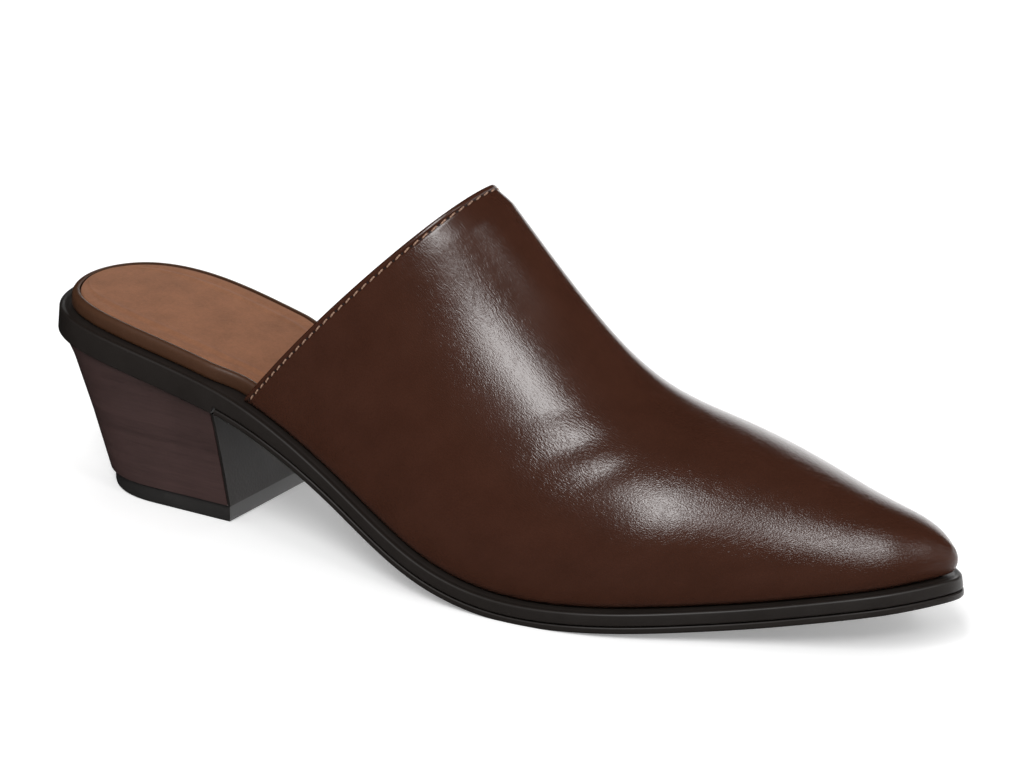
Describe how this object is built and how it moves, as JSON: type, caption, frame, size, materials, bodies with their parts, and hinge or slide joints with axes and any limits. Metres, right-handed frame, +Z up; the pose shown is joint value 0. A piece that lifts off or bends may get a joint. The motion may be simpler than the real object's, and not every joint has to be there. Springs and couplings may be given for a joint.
{
  "type": "block heel mule",
  "caption": "Pointed backless leather slip-on shoe with a hollow one-piece upper, thin black sole and underslung stacked block heel.",
  "frame": {"origin": "middle of the heel's resting face, on the floor", "axes": "+X from the heel to the toe, +Y to the inner (medial) side, +Z up"},
  "size_m": [0.2704, 0.079, 0.1013],
  "materials": {
    "upper_leather": "satin",
    "platform_leather": "satin",
    "sock_nubuck": "matte",
    "sole_rubber": "satin",
    "stacked_leather": "satin",
    "top_piece_rubber": "matte"
  },
  "bodies": {
    "root": {"upper": "upper_leather", "insole_platform": "platform_leather", "sock_lining": "sock_nubuck", "midsole": "sole_rubber", "outsole": "sole_rubber", "heel_block": "stacked_leather", "heel_breast_cover": "sole_rubber", "heel_top_piece": "top_piece_rubber"}
  },
  "joints": []
}
